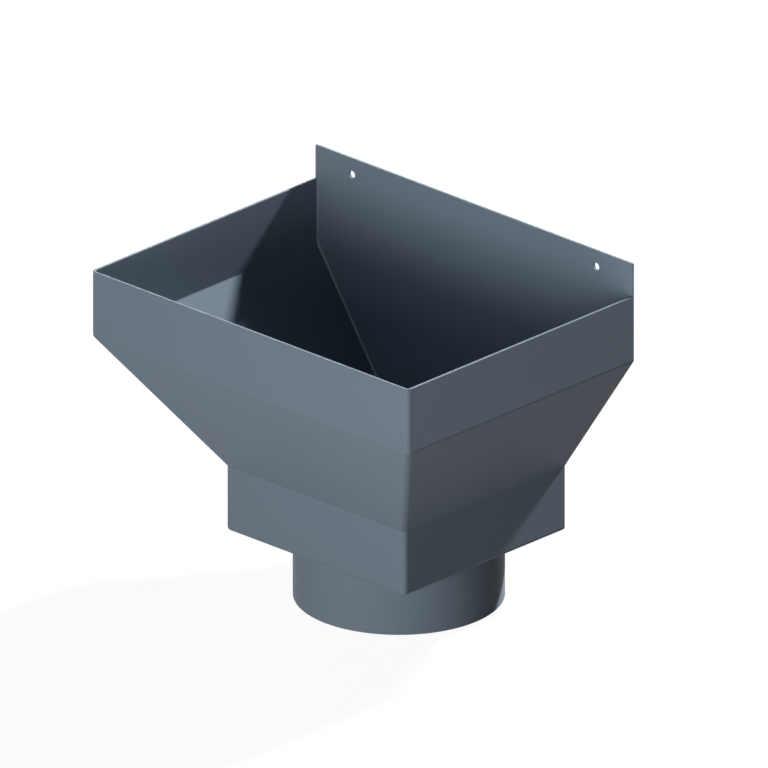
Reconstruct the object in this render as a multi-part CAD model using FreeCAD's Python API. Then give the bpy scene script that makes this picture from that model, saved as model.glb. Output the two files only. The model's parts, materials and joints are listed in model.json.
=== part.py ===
"""Downpipe hopper head: a rainwater head of thin coated sheet that hangs on a wall.

Three welded pieces share one frame, in millimetres. The origin is the centre of the spigot's
lower end, +Z points up, +Y points at the wall, and +X points right for someone facing the wall.
"""
import FreeCAD, Part
import math
import os

from FreeCAD import Vector

# Sheet and bends
sheet = 1.2
bend_radius = 1.3
floor_bend_radius = 0.8
rim_round = 0.3

# Hopper, outside sizes
hopper_width = 200.0
hopper_depth = 150.0
band_height = 32.2
taper_height = 65.0
box_height = 32.2

# Floor left around the spigot, which sets the size of the lower box
box_side_margin = 7.9
box_front_margin = 7.2

# Back plate
upstand_height = 16.3
screw_hole_diameter = 3.7
screw_side_distance = 23.0
screw_top_distance = 8.0

# Outlet spigot
spigot_diameter = 97.0
spigot_wall = 1.2
spigot_length = 32.0
spigot_wall_gap = 2.5

# Welds
corner_weld_leg = 1.2
spigot_weld_leg = 1.0

# How near its plane an edge or a face lies to be picked, and how far a hole's cut overruns
pick_tolerance = 1e-6
cut_overrun = sheet

# Levels, planes and insets that follow from the sizes above
floor_z = spigot_length
low_fold_z = floor_z + box_height
high_fold_z = low_fold_z + taper_height
rim_z = high_fold_z + band_height
top_z = rim_z + upstand_height
wall_y = spigot_diameter / 2 + spigot_wall_gap
plate_front_y = wall_y - sheet
front_y = wall_y - hopper_depth
side_inset = (hopper_width - spigot_diameter) / 2 - box_side_margin
front_inset = hopper_depth - spigot_wall_gap - spigot_diameter - box_front_margin
band_insets = (0.0, 0.0)
box_insets = (side_inset, front_inset)
taper_angle = math.atan2((side_inset + front_inset) / 2, taper_height)
fold_shift = sheet * math.tan(taper_angle / 2)


def arc_middle(radius):
    """How far in from each of its two tangents the middle of a quarter arc lies."""
    return radius * (1 - math.sqrt(0.5))


def plan_wire(insets, offset, rear_y, corner_radius, z):
    """Plan outline at height z: square at the wall, with two rounded corners at the front.

    The insets move the sides and the front in from the upper band, and offset moves them in by
    the sheet's thickness for the inside of the wall.
    """
    x = hopper_width / 2 - insets[0] - offset
    y = front_y + insets[1] + offset
    r = corner_radius
    s = arc_middle(r)
    rear_left, rear_right = Vector(-x, rear_y, z), Vector(x, rear_y, z)
    left_start, left_end = Vector(-x, y + r, z), Vector(-x + r, y, z)
    right_start, right_end = Vector(x - r, y, z), Vector(x, y + r, z)
    return Part.Wire([
        Part.makeLine(rear_left, left_start),
        Part.Arc(left_start, Vector(-x + s, y + s, z), left_end).toShape(),
        Part.makeLine(left_end, right_start),
        Part.Arc(right_start, Vector(x - s, y + s, z), right_end).toShape(),
        Part.makeLine(right_end, rear_right),
        Part.makeLine(rear_right, rear_left),
    ])


def taper_between(low, high):
    """Solid between two plan outlines, with flat panels and a rounded hip at each front corner."""
    faces = [Part.Face(low), Part.Face(high)]
    for lower, upper in zip(low.Edges, high.Edges):
        if isinstance(lower.Curve, Part.Line):
            a, b = (vertex.Point for vertex in lower.Vertexes)
            c, d = (vertex.Point for vertex in upper.Vertexes)
            faces.append(Part.Face(Part.makePolygon([a, b, d, c, a])))
        else:
            faces.append(Part.makeRuledSurface(lower, upper))
    solid = Part.Solid(Part.Shell(faces))
    solid.fix(pick_tolerance, pick_tolerance, pick_tolerance)
    if solid.Volume < 0:
        solid.reverse()
    return solid


def edges_at(shape, z, skip_y):
    """Edges that lie wholly at height z, apart from those along the plane y = skip_y."""
    found = []
    for edge in shape.Edges:
        box = edge.BoundBox
        level = max(abs(box.ZMin - z), abs(box.ZMax - z)) < pick_tolerance
        rear = max(abs(box.YMin - skip_y), abs(box.YMax - skip_y)) < pick_tolerance
        if level and not rear:
            found.append(edge)
    return found


def hopper_form(offset, rear_y, bottom_z, upper_z, corner_radius, fold_radii, bottom_radius):
    """Solid of the hopper's outside or inside: box, taper and band with bent fold lines."""
    shift = fold_shift if offset else 0.0
    low_z, high_z = low_fold_z + shift, high_fold_z + shift
    low = plan_wire(box_insets, offset, rear_y, corner_radius, low_z)
    high = plan_wire(band_insets, offset, rear_y, corner_radius, high_z)
    base = plan_wire(box_insets, offset, rear_y, corner_radius, bottom_z)
    box = Part.Face(base).extrude(Vector(0, 0, low_z - bottom_z))
    taper = taper_between(low, high)
    band = Part.Face(high).extrude(Vector(0, 0, upper_z - high_z))
    form = box.fuse([taper, band]).removeSplitter()
    for z, radius in ((high_z, fold_radii[0]), (low_z, fold_radii[1]), (bottom_z, bottom_radius)):
        form = form.makeFillet(radius, edges_at(form, z, rear_y))
    return form


def outer_form():
    """Outside of the hopper, from its front to the back plate."""
    outer_bend = bend_radius + sheet
    fold_radii = (outer_bend, bend_radius)
    return hopper_form(0.0, plate_front_y, floor_z, rim_z, outer_bend, fold_radii,
                       floor_bend_radius + sheet)


def inner_form():
    """Inside of the hopper, run out past the rim and the back so that it cuts both open."""
    fold_radii = (bend_radius, bend_radius + sheet)
    return hopper_form(sheet, wall_y + sheet, floor_z + sheet, top_z, bend_radius, fold_radii,
                       floor_bend_radius)


def corner_weld(side):
    """Concave weld run along the inside of one rear corner, from the floor up to the rim.

    Each straight stretch reaches into the wall behind it, and what lies inside the hopper is kept,
    so that the run follows the bent folds of the wall.
    """
    leg = corner_weld_leg
    hollow = arc_middle(leg)
    reach = sheet / 2
    y = plate_front_y
    levels = [
        (floor_z + sheet, side_inset),
        (low_fold_z + fold_shift, side_inset),
        (high_fold_z + fold_shift, 0.0),
        (rim_z, 0.0),
    ]
    stretches = []
    for (z0, inset0), (z1, inset1) in zip(levels, levels[1:]):
        x = hopper_width / 2 - sheet - inset0
        root = Vector(side * (x + reach), y, z0)
        plate_toe = Vector(side * (x - leg), y, z0)
        side_toe = Vector(side * x, y - leg, z0)
        back = Vector(side * (x + reach), y - leg, z0)
        middle = Vector(side * (x - hollow), y - hollow, z0)
        section = Part.Wire([
            Part.makeLine(root, plate_toe),
            Part.Arc(plate_toe, middle, side_toe).toShape(),
            Part.makeLine(side_toe, back),
            Part.makeLine(back, root),
        ])
        rise = Vector(side * (inset0 - inset1), 0, z1 - z0)
        stretches.append(Part.Face(section).extrude(rise))
    run = stretches[0].fuse(stretches[1:])
    return run.common(inner_form())


def make_hopper_shell():
    """Front, sides and floor of bent sheet, with the outlet hole and the two corner welds."""
    shell = outer_form().cut(inner_form())
    bore = spigot_diameter / 2 - spigot_wall
    depth = sheet + 2 * cut_overrun
    hole = Part.makeCylinder(bore, depth, Vector(0, 0, floor_z - cut_overrun))
    shell = shell.cut(hole)
    shell = shell.makeFillet(rim_round, edges_at(shell, rim_z, plate_front_y))
    return shell.fuse([corner_weld(-1), corner_weld(1)]).removeSplitter()


def front_top_edge(plate):
    """The upstand's top edge on its front face."""
    return [edge for edge in edges_at(plate, top_z, wall_y)
            if edge.BoundBox.YMax < plate_front_y + pick_tolerance]


def make_back_plate():
    """Flat sheet cut to the hopper's outline, with the upstand and its two screw holes."""
    rear = [face for face in outer_form().Faces
            if face.BoundBox.YMin > plate_front_y - pick_tolerance]
    backing = rear[0].extrude(Vector(0, sheet, 0))
    corner = Vector(-hopper_width / 2, plate_front_y, rim_z)
    upstand = Part.makeBox(hopper_width, sheet, upstand_height, corner)
    plate = backing.fuse(upstand).removeSplitter()
    outline = [edge for edge in plate.Edges if edge.BoundBox.YMin > wall_y - pick_tolerance]
    plate = plate.makeFillet(rim_round, outline + front_top_edge(plate))
    depth = sheet + 2 * cut_overrun
    for side in (-1, 1):
        x = side * (hopper_width / 2 - screw_side_distance)
        start = Vector(x, plate_front_y - cut_overrun, top_z - screw_top_distance)
        hole = Part.makeCylinder(screw_hole_diameter / 2, depth, start, Vector(0, 1, 0))
        plate = plate.cut(hole)
    return plate


def make_outlet_spigot():
    """Straight tube under the floor, with the weld fillet that holds it on."""
    outer = spigot_diameter / 2
    inner = outer - spigot_wall
    leg = spigot_weld_leg
    hollow = arc_middle(leg)
    weld_foot = Vector(outer, 0, floor_z - leg)
    weld_middle = Vector(outer + hollow, 0, floor_z - hollow)
    weld_toe = Vector(outer + leg, 0, floor_z)
    section = Part.Wire([
        Part.makeLine(Vector(inner, 0, 0), Vector(outer, 0, 0)),
        Part.makeLine(Vector(outer, 0, 0), weld_foot),
        Part.Arc(weld_foot, weld_middle, weld_toe).toShape(),
        Part.makeLine(weld_toe, Vector(inner, 0, floor_z)),
        Part.makeLine(Vector(inner, 0, floor_z), Vector(inner, 0, 0)),
    ])
    return Part.Face(section).revolve(Vector(0, 0, 0), Vector(0, 0, 1), 360)


def main():
    os.makedirs("parts", exist_ok=True)
    parts = {
        "hopper_shell": make_hopper_shell(),
        "back_plate": make_back_plate(),
        "outlet_spigot": make_outlet_spigot(),
    }
    for name, shape in parts.items():
        shape.exportStep("parts/" + name + ".step")
        print(name, "valid", shape.isValid(), "solids", len(shape.Solids), "faces", len(shape.Faces),
              "volume", round(shape.Volume, 1))


main()
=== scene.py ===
"""Downpipe hopper head of coated sheet: its folded shell, back plate, spigot, welds and studio."""
import json
import math

import bmesh
import bpy
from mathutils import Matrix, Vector


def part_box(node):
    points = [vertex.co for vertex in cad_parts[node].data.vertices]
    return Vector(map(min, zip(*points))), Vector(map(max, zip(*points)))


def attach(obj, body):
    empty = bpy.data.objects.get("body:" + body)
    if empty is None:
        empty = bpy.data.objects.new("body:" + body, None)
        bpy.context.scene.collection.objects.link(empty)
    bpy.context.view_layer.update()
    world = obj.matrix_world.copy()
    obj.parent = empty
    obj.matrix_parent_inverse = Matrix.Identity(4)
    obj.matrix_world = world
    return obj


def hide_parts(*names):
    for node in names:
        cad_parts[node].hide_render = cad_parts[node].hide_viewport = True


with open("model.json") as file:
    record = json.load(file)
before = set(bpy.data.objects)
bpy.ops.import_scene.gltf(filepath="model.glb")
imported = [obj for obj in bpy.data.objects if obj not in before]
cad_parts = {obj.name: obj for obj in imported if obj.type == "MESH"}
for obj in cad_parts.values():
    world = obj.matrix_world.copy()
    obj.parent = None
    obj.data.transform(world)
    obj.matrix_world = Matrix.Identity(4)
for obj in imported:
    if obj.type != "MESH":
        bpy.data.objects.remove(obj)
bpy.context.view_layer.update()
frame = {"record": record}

bl_info = {
    "name": "Downpipe hopper head",
    "version": (1, 0, 0),
    "blender": (4, 5, 0),
    "location": "3D View > Sidebar > Hopper head",
    "description": "Builds a rainwater hopper head of folded, welded and powder-coated sheet",
    "category": "Object",
}

MM = 0.001
BODY = "root"
COATING = "powder_coat"
BEAD_COATING = "powder_coat_on_weld"
# Edges that turn by more than these degrees stay sharp
SHARP = 40.0
PLATE_SHARP = 50.0
ACROSS = Vector((1.0, 0.0, 0.0))
TO_WALL = Vector((0.0, 1.0, 0.0))
UP = Vector((0.0, 0.0, 1.0))

mounts = {mount["name"]: mount for mount in frame["record"]["mounts"]}
coating = frame["record"]["materials"][0]
shell_low, shell_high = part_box("hopper_shell")
plate_low, plate_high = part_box("back_plate")
spigot_low, spigot_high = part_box("outlet_spigot")


def length(name, description, default):
    """A length that the user may change, in metres."""
    return bpy.props.FloatProperty(name=name, description=description, default=default,
                                   min=0.0, unit="LENGTH", subtype="DISTANCE", precision=5)


def amount(name, description, default, high=1.0):
    """A plain number that the user may change."""
    return bpy.props.FloatProperty(name=name, description=description, default=default,
                                   min=0.0, max=high, precision=4)


def angle(name, description, degrees):
    """An angle that the user may change."""
    return bpy.props.FloatProperty(name=name, description=description,
                                   default=math.radians(degrees), subtype="ANGLE")


def count(name, description, default):
    """A whole number of steps that the user may change."""
    return bpy.props.IntProperty(name=name, description=description, default=default, min=3)


def colour(name, description, default):
    """A colour that the user may change."""
    return bpy.props.FloatVectorProperty(name=name, description=description, default=default,
                                         min=0.0, max=1.0, size=3, subtype="COLOR")


class ShellSizes(bpy.types.PropertyGroup):
    """Sizes of the folded shell."""

    sheet: length("Sheet", "Thickness of the sheet", plate_high.y - plate_low.y)
    bend_radius: length("Bend radius", "Inner radius of the bends in the walls", 1.3 * MM)
    floor_bend: length("Floor bend", "Inner radius of the bend round the floor", 0.8 * MM)
    rim_round: length("Rim rounding", "Rounding of the rim's two edges", 0.2 * MM)
    band_height: length("Band height", "Height of the upright upper band", 32.2 * MM)
    taper_height: length("Taper height", "Height of the tapered middle", 65.0 * MM)
    side_margin: length("Side margin", "Floor beside the spigot", 7.9 * MM)
    front_margin: length("Front margin", "Floor in front of the spigot", 7.2 * MM)
    bend_steps: count("Bend steps", "Facets in each bend of the section", 8)
    corner_steps: count("Corner steps", "Facets in each upright front corner", 12)


class PlateSizes(bpy.types.PropertyGroup):
    """Sizes of the back plate."""

    hole_radius: length("Hole radius", "Radius of the two screw holes",
                        mounts["wall_screws"]["dims"]["hole_r_mm"] * MM)
    hole_spacing: length("Hole spacing", "Distance between the two screw holes",
                         mounts["wall_screws"]["dims"]["spacing_x_mm"] * MM)
    edge_round: length("Edge rounding", "Rounding of the plate's rear outline", 0.6 * MM)
    top_round: length("Top rounding", "Rounding of the two edges at the plate's top", 0.08 * MM)
    hole_steps: count("Hole steps", "Facets round each screw hole", 48)
    edge_steps: count("Edge steps", "Facets in the rounding of an edge", 5)


class SpigotSizes(bpy.types.PropertyGroup):
    """Sizes of the outlet spigot."""

    radius: length("Radius", "Outer radius of the spigot",
                   mounts["outlet"]["dims"]["r_mm"] * MM)
    wall: length("Wall", "Wall of the spigot", 1.2 * MM)
    edge_round: length("Edge rounding", "Rounding of the spigot's lower edges", 0.12 * MM)
    steps: count("Steps", "Facets round the spigot", 192)


class WeldSizes(bpy.types.PropertyGroup):
    """Sizes of the weld runs."""

    corner_leg: length("Corner leg", "Leg of the weld runs inside the rear corners", 0.9 * MM)
    spigot_leg: length("Spigot leg", "Leg of the weld round the spigot", 1.0 * MM)
    root: length("Root", "Depth of the weld's root in the joint", 0.4 * MM)
    pitch: length("Ripple pitch", "Distance from one ripple of the bead to the next", 1.6 * MM)
    ripple: amount("Ripple", "Height of the ripples as a share of the leg", 0.02)
    step: length("Step", "Distance between the sections along a run", 0.4 * MM)
    section_steps: count("Section steps", "Points in the section of a run", 9)


class CoatingLook(bpy.types.PropertyGroup):
    """Look of the powder coat."""

    tone: colour("Tone", "Main colour of the coating", coating["base_color"])
    drift: amount("Drift", "How much darker the coating is where it lies thin", 0.04)
    cloud: length("Cloud size", "Distance over which the tone drifts", 60.0 * MM)
    patch: length("Patch size", "Distance over which the roughness drifts", 60.0 * MM / 7)
    smooth: amount("Roughness", "Roughness of the coating at its smoothest", 0.46)
    rough: amount("Roughness, matt", "Roughness of the coating at its mattest", 0.54)
    gloss: amount("Specular level", "Strength of the coating's mirror reflection", 0.05)
    bead_gloss: amount("Specular level, welds", "The same on the smooth weld beads", 0.5)
    peel: length("Peel size", "Size of the waves in the coating's surface", 1.6 * MM)
    peel_height: length("Peel height", "Height of the waves in the surface", 0.004 * MM)
    grain: length("Grain size", "Size of the fine grain in the surface", 0.28 * MM)
    grain_height: length("Grain height", "Height of the fine grain", 0.001 * MM)


class StageLook(bpy.types.PropertyGroup):
    """Camera, lamps and floor of the studio."""

    azimuth: angle("Azimuth", "Camera's turn round the object from straight in front", 43.595)
    elevation: angle("Elevation", "Camera's height above the level", 23.311)
    view_width: length("View width", "Width of the camera's view", 350.685 * MM)
    aim: bpy.props.FloatVectorProperty(
        name="Aim", description="Point at the middle of the picture",
        default=(0.0, -0.009864, 0.107006), subtype="XYZ", unit="LENGTH")
    distance: length("Distance", "Camera's distance from that point", 2.0)
    floor_size: length("Floor size", "Side of the square floor", 8.0)
    floor_tone: amount("Floor tone", "Brightness of the floor for the light it throws back", 0.04)
    floor_drop: length("Floor drop", "Gap that keeps the floor off the spigot's end", 0.05 * MM)
    floor_glow: amount("Floor glow", "Share of the floor's white that no shadow darkens", 0.95)
    floor_shade: amount("Floor shade", "Share of the floor's white that the lamps give", 0.04)
    ambient: amount("Ambient", "Strength of the studio's even light", 0.0)
    low_azimuth: angle("Low lamp's azimuth", "Low lamp's turn round the object", 20.0)
    low_distance: length("Low lamp's distance", "Low lamp's distance from the object", 0.7)
    low_height: length("Low lamp's height", "Low lamp's height above the floor", 0.06)
    low_width: length("Low lamp's width", "Width of the low lamp", 0.25)
    low_power: amount("Low lamp's power", "Power of the low lamp in watts", 2.01, high=100.0)


class HopperHeadOperator(bpy.types.Operator):
    """Shared parts of the operators."""

    bl_options = {"REGISTER"}


def node(tree, kind, inputs=None, **settings):
    """Add a node, give it its settings, and link or fill its inputs by name or number."""
    made = tree.nodes.new(kind)
    for name, value in settings.items():
        setattr(made, name, value)
    for key, value in (inputs or {}).items():
        socket = made.inputs[key]
        if isinstance(value, bpy.types.NodeSocket):
            tree.links.new(value, socket)
        else:
            socket.default_value = value
    return made


def reckon(tree, operation, *values):
    """Output of a maths node in a shader or geometry tree."""
    return node(tree, "ShaderNodeMath", dict(enumerate(values)), operation=operation).outputs[0]


def mixed(tree, factor, first, second):
    """Output of a node that mixes two numbers by a factor."""
    made = node(tree, "ShaderNodeMapRange", {"Value": factor, "To Min": first, "To Max": second})
    return made.outputs["Result"]


def noise(tree, place, size, detail):
    """Output of a noise pattern whose waves have this size, with finer waves on top of them."""
    made = node(tree, "ShaderNodeTexNoise",
                {"Vector": place, "Scale": 1.0 / size, "Detail": detail})
    return made.outputs["Fac"]


def powder_coat(on_bead=False):
    """Satin powder coat: a tone that drifts a little, fine waves and grain in its surface.

    It is glossier on a weld bead than on the sheet.
    """
    name = BEAD_COATING if on_bead else COATING
    known = bpy.data.materials.get(name)
    if known:
        return known
    look = bpy.context.scene.hopper_coating
    material = bpy.data.materials.new(name)
    material.use_nodes = True
    tree = material.node_tree
    shader = tree.nodes["Principled BSDF"]
    place = node(tree, "ShaderNodeTexCoord").outputs["Object"]
    thin = [part * (1.0 - look.drift) for part in look.tone]
    # The sockets of a mix node for colours are those with the numbers 6 and 7, and output 2
    tone = node(tree, "ShaderNodeMix", {
        0: noise(tree, place, look.cloud, detail=2.0),
        6: (*look.tone, 1.0),
        7: (*thin, 1.0),
    }, data_type="RGBA")
    tree.links.new(tone.outputs[2], shader.inputs["Base Color"])
    matt = mixed(tree, noise(tree, place, look.patch, detail=3.0), look.smooth, look.rough)
    tree.links.new(matt, shader.inputs["Roughness"])
    shader.inputs["Specular IOR Level"].default_value = look.bead_gloss if on_bead else look.gloss
    grain = node(tree, "ShaderNodeBump", {
        "Strength": 1.0,
        "Distance": look.grain_height,
        "Height": noise(tree, place, look.grain, detail=1.0),
    })
    peel = node(tree, "ShaderNodeBump", {
        "Strength": 1.0,
        "Distance": look.peel_height,
        "Height": noise(tree, place, look.peel, detail=0.0),
        "Normal": grain.outputs["Normal"],
    })
    tree.links.new(peel.outputs["Normal"], shader.inputs["Normal"])
    return material


def link(name, mesh):
    """New object with this mesh, at the origin."""
    piece = bpy.data.objects.new(name, mesh)
    bpy.context.scene.collection.objects.link(piece)
    return piece


def plain_mesh(piece):
    """Turn the piece's modifiers into its own mesh."""
    bpy.context.view_layer.update()
    depsgraph = bpy.context.evaluated_depsgraph_get()
    mesh = bpy.data.meshes.new_from_object(piece.evaluated_get(depsgraph))
    piece.modifiers.clear()
    piece.data = mesh


def even_normals(piece, sharp_degrees):
    """Smooth the bends, keep the flats flat, and keep edges sharper than this angle."""
    piece.data.shade_smooth()
    piece.data.set_sharp_from_angle(angle=math.radians(sharp_degrees))
    modifier = piece.modifiers.new("flats", "WEIGHTED_NORMAL")
    modifier.weight = 100
    modifier.keep_sharp = True
    plain_mesh(piece)


def hand_over(piece, cad_node):
    """Put the piece on its body and hide the CAD node that it stands for."""
    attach(piece, BODY)
    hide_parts(cad_node)


def arc_rows(corner, before, after, radius, steps):
    """Rows along the arc that rounds off a corner of the section.

    The arc is worked out in the plane of the row's first and third values, and the other values
    follow it.
    """
    to_before, to_after = before - corner, after - corner
    first = to_before / to_before.xz.length
    second = to_after / to_after.xz.length
    opening = to_before.xz.angle(to_after.xz)
    centre = (first + second) * (radius / math.sin(opening))
    reach = radius / math.tan(opening / 2)
    start, end = first * reach - centre, second * reach - centre
    sweep = math.pi - opening
    rows = []
    for step in range(steps + 1):
        turn = sweep * step / steps
        spoke = (start * math.sin(sweep - turn) + end * math.sin(turn)) / math.sin(sweep)
        rows.append(corner + centre + spoke)
    return rows


def rounded_section(corners, steps):
    """Section with its corners rounded. Each corner comes as its row and its bend radius."""
    rows = [corners[0][0]]
    for index in range(1, len(corners) - 1):
        row, radius = corners[index]
        rows += arc_rows(row, corners[index - 1][0], corners[index + 1][0], radius, steps)
    rows.append(corners[-1][0])
    return rows


def shell_insets():
    """How far the lower box's sides and front stand in from the upper band."""
    sizes, spigot = bpy.context.scene.hopper_shell, bpy.context.scene.hopper_spigot
    side = shell_high.x - spigot.radius - sizes.side_margin
    front = -shell_low.y - spigot.radius - sizes.front_margin
    return side, front


def shell_corners():
    """Sharp corners of the shell's section, outside from the floor to the rim and back inside.

    A row is the distance in from the band's side, the distance in from its front, the height, and
    the radius of the upright front corner there. Each comes with the radius of its own bend.
    """
    sizes = bpy.context.scene.hopper_shell
    sheet, bend = sizes.sheet, sizes.bend_radius
    side, front = shell_insets()
    floor, rim = shell_low.z, shell_high.z
    high = rim - sizes.band_height
    low = high - sizes.taper_height
    shift = sheet * math.tan(math.atan2((side + front) / 2, high - low) / 2)
    outer = bend + sheet
    flat = sizes.floor_bend + sheet
    return [
        (Vector((side + flat, front + flat, floor, outer - flat)), 0.0),
        (Vector((side, front, floor, outer)), flat),
        (Vector((side, front, low, outer)), bend),
        (Vector((0.0, 0.0, high, outer)), outer),
        (Vector((0.0, 0.0, rim, outer)), sizes.rim_round),
        (Vector((sheet, sheet, rim, bend)), sizes.rim_round),
        (Vector((sheet, sheet, high + shift, bend)), bend),
        (Vector((side + sheet, front + sheet, low + shift, bend)), outer),
        (Vector((side + sheet, front + sheet, floor + sheet, bend)), sizes.floor_bend),
        (Vector((side + flat, front + flat, floor + sheet, outer - flat)), 0.0),
    ]


def plan_points(row, steps):
    """Points of the shell's plan at one row: up one side, round the front, down the other."""
    half = shell_high.x - row.x
    front = shell_low.y + row.y
    radius = row.w
    points = [Vector((-half, shell_high.y, row.z))]
    for side, start in ((-1, math.pi), (1, 1.5 * math.pi)):
        centre = Vector((side * (half - radius), front + radius, row.z))
        for step in range(steps + 1):
            turn = start + step / steps * math.pi / 2
            points.append(centre + radius * Vector((math.cos(turn), math.sin(turn), 0.0)))
    points.append(Vector((half, shell_high.y, row.z)))
    return points


def circle_points(centre, radius, across, up, steps):
    """Points round a circle in the plane of two unit vectors."""
    turns = [2 * math.pi * step / steps for step in range(steps)]
    return [centre + radius * (across * math.cos(t) + up * math.sin(t)) for t in turns]


def ring(mesh, points):
    """Closed ring of vertices and edges."""
    vertices = [mesh.verts.new(point) for point in points]
    edges = [mesh.edges.new((a, b)) for a, b in zip(vertices, vertices[1:] + vertices[:1])]
    return vertices, edges


def strip(mesh, first, second):
    """Band of faces between two rows of vertices."""
    for a, b, c, d in zip(first, first[1:], second[1:], second):
        mesh.faces.new((a, b, c, d))


def finished(mesh, name):
    """Object from a closed mesh, with its faces turned outwards and its coating."""
    bmesh.ops.recalc_face_normals(mesh, faces=mesh.faces)
    data = bpy.data.meshes.new(name)
    mesh.to_mesh(data)
    mesh.free()
    data.materials.append(powder_coat())
    return link(name, data)


class HOPPER_HEAD_OT_fold_shell(HopperHeadOperator):
    """Fold the front, both sides and the floor from one sheet, with the outlet hole"""

    bl_idname = "hopper_head.fold_shell"
    bl_label = "Fold shell"

    def execute(self, context):
        sizes, spigot = context.scene.hopper_shell, context.scene.hopper_spigot
        section = rounded_section(shell_corners(), sizes.bend_steps)[1:-1]
        mesh = bmesh.new()
        rows = [[mesh.verts.new(point) for point in plan_points(row, sizes.corner_steps)]
                for row in section]
        for lower, upper in zip(rows, rows[1:]):
            strip(mesh, lower, upper)
        outside, inside = rows[:len(rows) // 2], rows[:len(rows) // 2 - 1:-1]
        for end in (0, -1):
            strip(mesh, [row[end] for row in outside], [row[end] for row in inside])
        rear = [rows[0][-1], rows[0][0], rows[-1][0], rows[-1][-1]]
        mesh.faces.new(rear)
        holes = []
        for row in (rows[0], rows[-1]):
            centre = Vector((0.0, 0.0, row[0].co.z))
            points = circle_points(centre, spigot.radius - spigot.wall, ACROSS, TO_WALL,
                                   spigot.steps)
            vertices, edges = ring(mesh, points)
            outline = [mesh.edges.get(pair) for pair in zip(row, row[1:] + row[:1])]
            bmesh.ops.triangle_fill(mesh, use_beauty=True, edges=outline + edges)
            holes.append(vertices + vertices[:1])
        strip(mesh, *holes)
        piece = finished(mesh, "folded_shell")
        even_normals(piece, SHARP)
        hand_over(piece, "hopper_shell")
        return {"FINISHED"}


class HOPPER_HEAD_OT_cut_back_plate(HopperHeadOperator):
    """Cut the back plate to the hopper's outline, with its upstand and two screw holes"""

    bl_idname = "hopper_head.cut_back_plate"
    bl_label = "Cut back plate"

    def outline(self):
        """Points round the plate's front face, from the floor's right end to its left end."""
        sizes = bpy.context.scene.hopper_shell
        corners = shell_corners()[:5]
        section = rounded_section(corners, sizes.bend_steps)[1:-1]
        half = plate_high.x
        right = [Vector((half - row.x, plate_low.y, row.z)) for row in section]
        right.append(Vector((half, plate_low.y, plate_high.z)))
        left = [Vector((-point.x, point.y, point.z)) for point in reversed(right)]
        return right + left

    def profile(self, sizes):
        """Outlines from front to back, each with its depth, its step in and that at the top.

        The top is rounded in front and at the back. The rest is rounded only at the back, because
        the shell lies against its front.
        """
        turns = [step / sizes.edge_steps * math.pi / 2 for step in range(sizes.edge_steps + 1)]
        front = [(plate_low.y + sizes.top_round * (1.0 - math.cos(turn)),
                  0.0,
                  sizes.top_round * (1.0 - math.sin(turn))) for turn in turns]
        back = [(plate_high.y - sizes.edge_round * (1.0 - math.sin(turn)),
                 sizes.edge_round * (1.0 - math.cos(turn)),
                 sizes.top_round * (1.0 - math.cos(turn))) for turn in turns]
        return front + back

    def stepped_in(self, points, depth, side, top):
        """The outline at another depth, stepped in by one amount at the top and by one elsewhere.

        Where the two amounts meet, the outline has a square corner.
        """
        moved = []
        for before, point, after in zip(points[-1:] + points, points, points[1:] + points[:1]):
            first, second = [Vector((end.z - start.z, 0.0, start.x - end.x)).normalized()
                             for start, end in ((before, point), (point, after))]
            at_first, at_second = [top if way.angle(UP) < math.radians(1.0) else side
                                   for way in (first, second)]
            if at_first == at_second:
                move = (first + second) * at_first / (1.0 + first.dot(second))
            else:
                move = first * at_first + second * at_second
            moved.append(Vector((point.x, depth, point.z)) - move)
        return moved

    def screw_holes(self, mesh, depth):
        """Rings of the two screw holes at one depth: vertices and edges of each."""
        sizes = bpy.context.scene.hopper_plate
        height = mounts["wall_screws"]["pos_m"][2]
        centres = [Vector((side * sizes.hole_spacing / 2, depth, height)) for side in (-1, 1)]
        return [ring(mesh, circle_points(centre, sizes.hole_radius, ACROSS, UP, sizes.hole_steps))
                for centre in centres]

    def execute(self, context):
        outline = self.outline()
        mesh = bmesh.new()
        loops = [ring(mesh, self.stepped_in(outline, *place))
                 for place in self.profile(context.scene.hopper_plate)]
        for (lower, _), (upper, _) in zip(loops, loops[1:]):
            strip(mesh, lower + lower[:1], upper + upper[:1])
        walls = []
        for (_, edges), depth in ((loops[0], plate_low.y), (loops[-1], plate_high.y)):
            holes = self.screw_holes(mesh, depth)
            circles = [edge for _, circle in holes for edge in circle]
            bmesh.ops.triangle_fill(mesh, use_beauty=True, edges=edges + circles)
            walls.append([vertices + vertices[:1] for vertices, _ in holes])
        for front, back in zip(*walls):
            strip(mesh, front, back)
        piece = finished(mesh, "back_plate_sheet")
        even_normals(piece, PLATE_SHARP)
        hand_over(piece, "back_plate")
        return {"FINISHED"}


def new_tree(name, inputs):
    """Geometry node tree with these named inputs. Returns the tree and its inputs' sockets."""
    tree = bpy.data.node_groups.new(name, "GeometryNodeTree")
    tree.interface.new_socket("Geometry", in_out="INPUT", socket_type="NodeSocketGeometry")
    for label, kind in inputs.items():
        tree.interface.new_socket(label, in_out="INPUT", socket_type="NodeSocket" + kind)
    tree.interface.new_socket("Geometry", in_out="OUTPUT", socket_type="NodeSocketGeometry")
    return tree, node(tree, "NodeGroupInput").outputs


def end_tree(tree, mesh, material):
    """Last nodes of a tree: smooth faces, real geometry and the coating."""
    smooth = node(tree, "GeometryNodeSetShadeSmooth", {"Geometry": mesh})
    real = node(tree, "GeometryNodeRealizeInstances", {"Geometry": smooth.outputs[0]})
    coated = node(tree, "GeometryNodeSetMaterial",
                  {"Geometry": real.outputs[0], "Material": material})
    node(tree, "NodeGroupOutput", {"Geometry": coated.outputs[0]})


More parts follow.
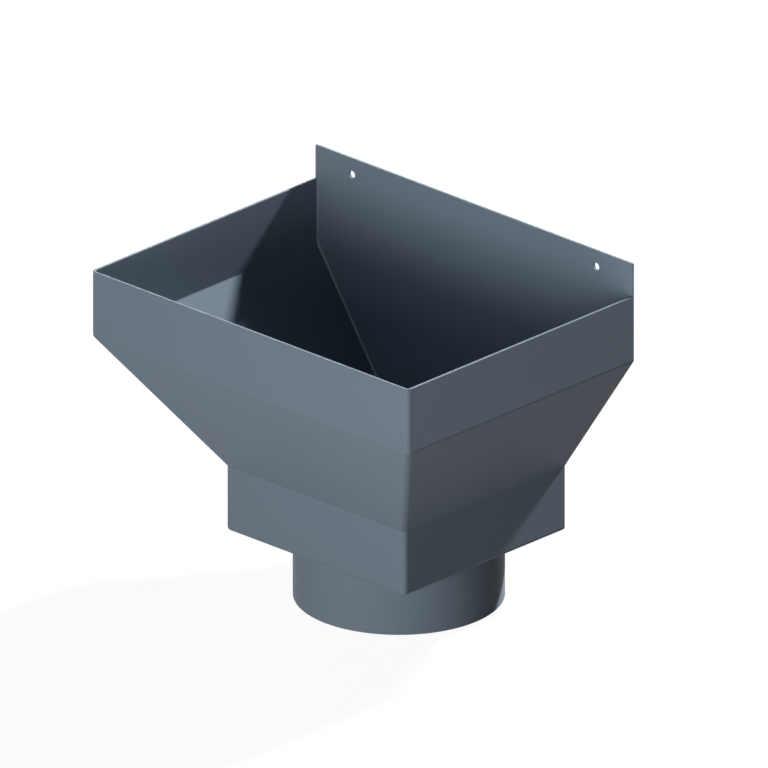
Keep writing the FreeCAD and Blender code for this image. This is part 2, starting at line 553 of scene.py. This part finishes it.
def grown(name, mesh, tree, values):
    """Object with the plain mesh that a node tree makes from a start mesh and its inputs."""
    piece = link(name, mesh)
    modifier = piece.modifiers.new("nodes", "NODES")
    modifier.node_group = tree
    for item in tree.interface.items_tree:
        if item.in_out == "INPUT" and item.name in values:
            modifier[item.identifier] = values[item.name]
    plain_mesh(piece)
    shape = bmesh.new()
    shape.from_mesh(piece.data)
    bmesh.ops.remove_doubles(shape, verts=shape.verts, dist=0.001 * MM)
    bmesh.ops.recalc_face_normals(shape, faces=shape.faces)
    shape.to_mesh(piece.data)
    shape.free()
    return piece


def spigot_tree():
    """Nodes of the tube: a rectangle with rounded corners, swept round a circle."""
    tree, given = new_tree("spigot tube", {
        "Radius": "Float", "Wall": "Float", "Length": "Float", "Edge rounding": "Float",
        "Steps": "Int", "Coating": "Material",
    })
    middle = reckon(tree, "SUBTRACT", given["Radius"],
                    reckon(tree, "MULTIPLY", given["Wall"], 0.5))
    circle = node(tree, "GeometryNodeCurvePrimitiveCircle",
                  {"Resolution": given["Steps"], "Radius": middle})
    outwards = node(tree, "ShaderNodeVectorMath",
                    {0: node(tree, "GeometryNodeInputPosition").outputs[0]},
                    operation="NORMALIZE")
    path = node(tree, "GeometryNodeSetCurveNormal",
                {"Curve": circle.outputs["Curve"], "Normal": outwards.outputs[0]}, mode="FREE")
    section = node(tree, "GeometryNodeCurvePrimitiveQuadrilateral",
                   {"Width": given["Wall"], "Height": given["Length"]})
    soft = node(tree, "GeometryNodeFilletCurve", {
        "Curve": section.outputs[0],
        "Count": 4,
        "Radius": given["Edge rounding"],
        "Limit Radius": True,
    }, mode="POLY")
    tube = node(tree, "GeometryNodeCurveToMesh",
                {"Curve": path.outputs[0], "Profile Curve": soft.outputs[0]})
    rise = node(tree, "ShaderNodeCombineXYZ",
                {"Z": reckon(tree, "MULTIPLY", given["Length"], 0.5)})
    stood = node(tree, "GeometryNodeTransform",
                 {"Geometry": tube.outputs[0], "Translation": rise.outputs[0]})
    end_tree(tree, stood.outputs[0], given["Coating"])
    return tree


def weld_tree():
    """Nodes of a weld run: a hollow fillet with fine ripples, swept along a path.

    The path comes as a line of edges, with the direction of one leg in the attribute leg.
    """
    tree, given = new_tree("weld run", {
        "Leg": "Float", "Root": "Float", "Pitch": "Float", "Ripple": "Float", "Step": "Float",
        "Section steps": "Int", "Coating": "Material",
    })
    line = node(tree, "GeometryNodeMeshToCurve", {"Mesh": given["Geometry"]})
    path = node(tree, "GeometryNodeResampleCurve",
                {"Curve": line.outputs[0], "Length": given["Step"]}, mode="LENGTH")
    leg_way = node(tree, "GeometryNodeInputNamedAttribute", {"Name": "leg"},
                   data_type="FLOAT_VECTOR")
    turned = node(tree, "GeometryNodeSetCurveNormal",
                  {"Curve": path.outputs[0], "Normal": leg_way.outputs[0]}, mode="FREE")
    index = node(tree, "GeometryNodeInputIndex").outputs[0]
    spans = reckon(tree, "SUBTRACT", given["Section steps"], 2.0)
    share = reckon(tree, "DIVIDE", index, spans)
    turn = reckon(tree, "MULTIPLY_ADD", share, math.pi / 2, math.pi)
    arc = [reckon(tree, "MULTIPLY_ADD", reckon(tree, kind, turn), given["Leg"], given["Leg"])
           for kind in ("COSINE", "SINE")]
    at_root = reckon(tree, "GREATER_THAN", share, 1.0)
    depth = reckon(tree, "MULTIPLY", given["Root"], -1.0)
    place = node(tree, "ShaderNodeCombineXYZ", {
        "X": mixed(tree, at_root, arc[0], depth),
        "Y": mixed(tree, at_root, arc[1], depth),
    })
    blank = node(tree, "GeometryNodeCurvePrimitiveCircle",
                 {"Resolution": given["Section steps"]})
    section = node(tree, "GeometryNodeSetPosition",
                   {"Geometry": blank.outputs["Curve"], "Position": place.outputs[0]})
    along = node(tree, "GeometryNodeSplineParameter").outputs["Length"]
    phase = reckon(tree, "MULTIPLY", reckon(tree, "DIVIDE", along, given["Pitch"]), 2 * math.pi)
    swell = reckon(tree, "MULTIPLY_ADD", reckon(tree, "SINE", phase), given["Ripple"],
                   reckon(tree, "SUBTRACT", 1.0, given["Ripple"]))
    bead = node(tree, "GeometryNodeCurveToMesh", {
        "Curve": turned.outputs[0],
        "Profile Curve": section.outputs[0],
        "Scale": swell,
        "Fill Caps": True,
    })
    end_tree(tree, bead.outputs[0], given["Coating"])
    return tree


def path_mesh(name, points, legs, closed):
    """Line of edges with the direction of one weld leg at each point."""
    edges = [(i, i + 1) for i in range(len(points) - 1)]
    if closed:
        edges.append((len(points) - 1, 0))
    mesh = bpy.data.meshes.new(name)
    mesh.from_pydata(points, edges, [])
    leg = mesh.attributes.new("leg", "FLOAT_VECTOR", "POINT")
    leg.data.foreach_set("vector", [value for way in legs for value in way])
    return mesh


class HOPPER_HEAD_OT_roll_spigot(HopperHeadOperator):
    """Roll the outlet spigot, a plain round tube under the floor"""

    bl_idname = "hopper_head.roll_spigot"
    bl_label = "Roll spigot"

    def execute(self, context):
        sizes = context.scene.hopper_spigot
        start = bpy.data.meshes.new("spigot_tube")
        piece = grown("spigot_tube", start, spigot_tree(), {
            "Radius": sizes.radius,
            "Wall": sizes.wall,
            "Length": spigot_high.z - spigot_low.z,
            "Edge rounding": sizes.edge_round,
            "Steps": sizes.steps,
            "Coating": powder_coat(),
        })
        even_normals(piece, SHARP)
        hand_over(piece, "outlet_spigot")
        return {"FINISHED"}


class HOPPER_HEAD_OT_lay_welds(HopperHeadOperator):
    """Lay the weld runs inside the two rear corners and round the spigot"""

    bl_idname = "hopper_head.lay_welds"
    bl_label = "Lay welds"

    def corner_path(self, side):
        """Line where the plate's front meets the inside of one side wall, from floor to rim."""
        sizes = bpy.context.scene.hopper_shell
        inside = shell_corners()[5:9]
        rim, floor = inside[0][0], inside[-1][0]
        section = rounded_section([(rim, 0.0), *inside[1:-1], (floor, 0.0)], sizes.bend_steps)
        half = shell_high.x
        points = [Vector((side * (half - row.x), shell_high.y, row.z)) for row in section]
        return points if side > 0 else points[::-1]

    def execute(self, context):
        sizes, spigot = context.scene.hopper_weld, context.scene.hopper_spigot
        middle = Vector((0.0, 0.0, spigot_high.z))
        circle = circle_points(middle, spigot.radius, ACROSS, TO_WALL, spigot.steps)
        runs = [("spigot_weld", "outlet_spigot", circle,
                 [(point - middle).normalized() for point in circle], sizes.spigot_leg)]
        for name, side in (("corner_weld_left", -1), ("corner_weld_right", 1)):
            points = self.corner_path(side)
            runs.append((name, "hopper_shell", points, [-TO_WALL] * len(points),
                         sizes.corner_leg))
        tree = weld_tree()
        for name, cad_node, points, legs, leg in runs:
            start = path_mesh(name, points, legs, closed=points is circle)
            piece = grown(name, start, tree, {
                "Leg": leg,
                "Root": sizes.root,
                "Pitch": sizes.pitch,
                "Ripple": sizes.ripple,
                "Step": sizes.step,
                "Section steps": sizes.section_steps,
                "Coating": powder_coat(on_bead=True),
            })
            even_normals(piece, SHARP)
            hand_over(piece, cad_node)
        return {"FINISHED"}


# The far lamps: name, turn from the front and height of where the light comes from in degrees,
# how wide it looks from the object in degrees, and strength
FAR_LAMPS = (
    ("key", 174.0, 42.27, 5.0, 8.84),
    ("front", 0.0, 0.0, 25.0, 1.27),
    ("fill", 10.0, 10.0, 25.0, 0.71),
    ("side", 25.0, 0.0, 25.0, 1.03),
    ("left", -128.0, 5.0, 25.0, 1.9),
)


def direction(azimuth, elevation):
    """Unit vector from the object towards a place at this turn and height, in radians."""
    level = math.cos(elevation)
    return Vector((math.sin(azimuth) * level, -math.cos(azimuth) * level, math.sin(elevation)))


def background_share(tree):
    """Factor that is one where the camera sees a surface, directly or by reflection."""
    path = node(tree, "ShaderNodeLightPath")
    seen = reckon(tree, "MAXIMUM", path.outputs["Is Camera Ray"], path.outputs["Is Glossy Ray"])
    return reckon(tree, "MAXIMUM", seen, path.outputs["Is Transmission Ray"])


def add_floor(look):
    """Pale floor: white where it is seen, with the object's shadow, and plain for its bounce."""
    half, low = look.floor_size / 2, spigot_low.z - look.floor_drop
    corners = [(-half, -half, low), (half, -half, low), (half, half, low), (-half, half, low)]
    mesh = bpy.data.meshes.new("studio_floor")
    mesh.from_pydata(corners, [], [(0, 1, 2, 3)])
    material = bpy.data.materials.new("studio_floor")
    material.use_nodes = True
    tree = material.node_tree
    tree.nodes.clear()
    bounce = node(tree, "ShaderNodeBsdfDiffuse", {"Color": (*[look.floor_tone] * 3, 1.0)})
    shade = node(tree, "ShaderNodeBsdfDiffuse", {"Color": (*[look.floor_shade] * 3, 1.0)})
    glow = node(tree, "ShaderNodeEmission", {"Strength": look.floor_glow})
    white = node(tree, "ShaderNodeAddShader", {0: shade.outputs[0], 1: glow.outputs[0]})
    both = node(tree, "ShaderNodeMixShader",
                {0: background_share(tree), 1: bounce.outputs[0], 2: white.outputs[0]})
    node(tree, "ShaderNodeOutputMaterial", {"Surface": both.outputs[0]})
    mesh.materials.append(material)
    link("studio_floor", mesh)


def add_world(look):
    """White where it is seen, and an even light of the ambient strength on the object."""
    world = bpy.data.worlds.new("studio")
    world.use_nodes = True
    tree = world.node_tree
    tree.nodes.clear()
    light = node(tree, "ShaderNodeBackground", {"Strength": look.ambient})
    white = node(tree, "ShaderNodeBackground", {"Strength": 1.0})
    both = node(tree, "ShaderNodeMixShader",
                {0: background_share(tree), 1: light.outputs[0], 2: white.outputs[0]})
    for made in (light, white):
        made.inputs["Color"].default_value = (1.0, 1.0, 1.0, 1.0)
    node(tree, "ShaderNodeOutputWorld", {"Surface": both.outputs[0]})
    bpy.context.scene.world = world


def add_far_lamps():
    """Lamps far away from the object, each turned towards it."""
    for name, azimuth, elevation, width, strength in FAR_LAMPS:
        lamp = bpy.data.lights.new("studio_" + name, "SUN")
        lamp.angle = math.radians(width)
        lamp.energy = strength
        holder = link("studio_" + name, lamp)
        towards = direction(math.radians(azimuth), math.radians(elevation))
        holder.location = towards
        holder.rotation_euler = towards.to_track_quat("Z", "Y").to_euler()


def add_low_lamp(look):
    """Round lamp near the floor in front of the object, which the camera doesn't see."""
    lamp = bpy.data.lights.new("studio_low", "AREA")
    lamp.shape = "DISK"
    lamp.size = look.low_width
    lamp.energy = look.low_power
    holder = link("studio_low", lamp)
    holder.visible_camera = False
    holder.location = direction(look.low_azimuth, 0.0) * look.low_distance
    holder.location.z = look.low_height
    towards = holder.location - Vector((0.0, 0.0, (shell_low.z + shell_high.z) / 2))
    holder.rotation_euler = towards.to_track_quat("Z", "Y").to_euler()


def add_camera(look):
    """Camera with parallel rays, aimed at the middle of the picture."""
    camera = bpy.data.cameras.new("camera")
    camera.type = "ORTHO"
    camera.ortho_scale = look.view_width
    holder = link("camera", camera)
    back = direction(look.azimuth, look.elevation)
    holder.location = Vector(look.aim) + back * look.distance
    holder.rotation_euler = back.to_track_quat("Z", "Y").to_euler()
    bpy.context.scene.camera = holder


class HOPPER_HEAD_OT_set_stage(HopperHeadOperator):
    """Set the camera, the lamps, the white surroundings and the pale floor"""

    bl_idname = "hopper_head.set_stage"
    bl_label = "Set stage"

    def execute(self, context):
        look = context.scene.hopper_stage
        context.scene.view_settings.view_transform = "Standard"
        add_floor(look)
        add_world(look)
        add_far_lamps()
        add_low_lamp(look)
        add_camera(look)
        return {"FINISHED"}


OPERATORS = (
    HOPPER_HEAD_OT_fold_shell,
    HOPPER_HEAD_OT_cut_back_plate,
    HOPPER_HEAD_OT_roll_spigot,
    HOPPER_HEAD_OT_lay_welds,
    HOPPER_HEAD_OT_set_stage,
)

GROUPS = {
    "hopper_shell": ShellSizes,
    "hopper_plate": PlateSizes,
    "hopper_spigot": SpigotSizes,
    "hopper_weld": WeldSizes,
    "hopper_coating": CoatingLook,
    "hopper_stage": StageLook,
}


class VIEW3D_PT_hopper_head(bpy.types.Panel):
    """Sidebar panel with the sizes, the looks and one button for each piece"""

    bl_label = "Hopper head"
    bl_idname = "VIEW3D_PT_hopper_head"
    bl_space_type = "VIEW_3D"
    bl_region_type = "UI"
    bl_category = "Hopper head"

    def draw(self, context):
        for name, group in GROUPS.items():
            box = self.layout.box()
            box.label(text=group.__doc__.rstrip("."))
            for label in group.__annotations__:
                box.prop(getattr(context.scene, name), label)
        for operator in OPERATORS:
            self.layout.operator(operator.bl_idname)


def register():
    for group in GROUPS.values():
        bpy.utils.register_class(group)
    for name, group in GROUPS.items():
        setattr(bpy.types.Scene, name, bpy.props.PointerProperty(type=group))
    for operator in OPERATORS:
        bpy.utils.register_class(operator)
    bpy.utils.register_class(VIEW3D_PT_hopper_head)


def unregister():
    bpy.utils.unregister_class(VIEW3D_PT_hopper_head)
    for operator in reversed(OPERATORS):
        bpy.utils.unregister_class(operator)
    for name, group in reversed(GROUPS.items()):
        delattr(bpy.types.Scene, name)
        bpy.utils.unregister_class(group)


def main():
    register()
    bpy.ops.hopper_head.fold_shell()
    bpy.ops.hopper_head.cut_back_plate()
    bpy.ops.hopper_head.roll_spigot()
    bpy.ops.hopper_head.lay_welds()
    bpy.ops.hopper_head.set_stage()


if __name__ == "__main__":
    main()
